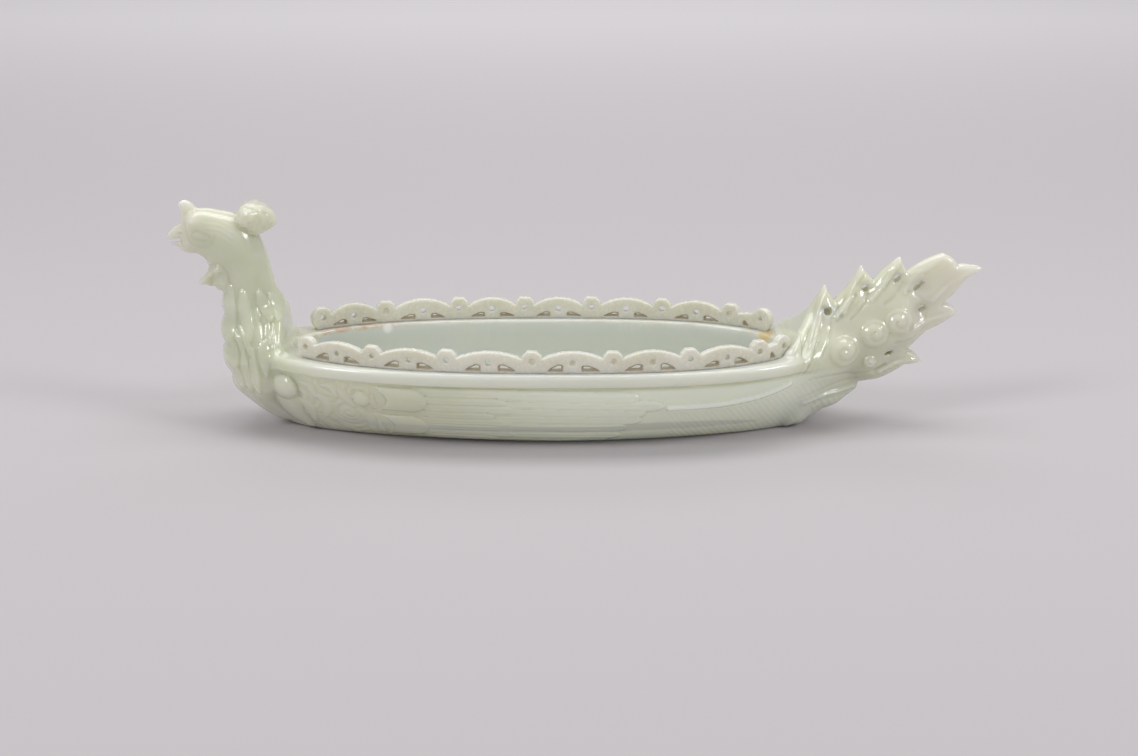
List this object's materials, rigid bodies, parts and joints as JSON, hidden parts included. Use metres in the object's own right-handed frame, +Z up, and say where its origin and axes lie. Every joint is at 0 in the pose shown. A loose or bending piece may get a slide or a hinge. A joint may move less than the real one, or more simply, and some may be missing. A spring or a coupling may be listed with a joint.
{
  "type": "jade carving",
  "caption": "Pale green jade boat carved as a phoenix, with head and neck at the bow, flame-edged pierced tail at the stern, folded wings on the sides and pierced cream railings on the rim",
  "frame": {"origin": "on the ground under the middle of the carving's length and breadth", "axes": "+X towards the tail, the beak at -X; +Y to the starboard side; +Z up"},
  "size_m": [0.2346, 0.0616, 0.0671],
  "materials": {
    "green_jade": "polished",
    "cream_jade": "gloss"
  },
  "bodies": {
    "root": {"phoenix_boat": "green_jade", "rail_port": "cream_jade", "rail_starboard": "cream_jade"}
  },
  "joints": []
}
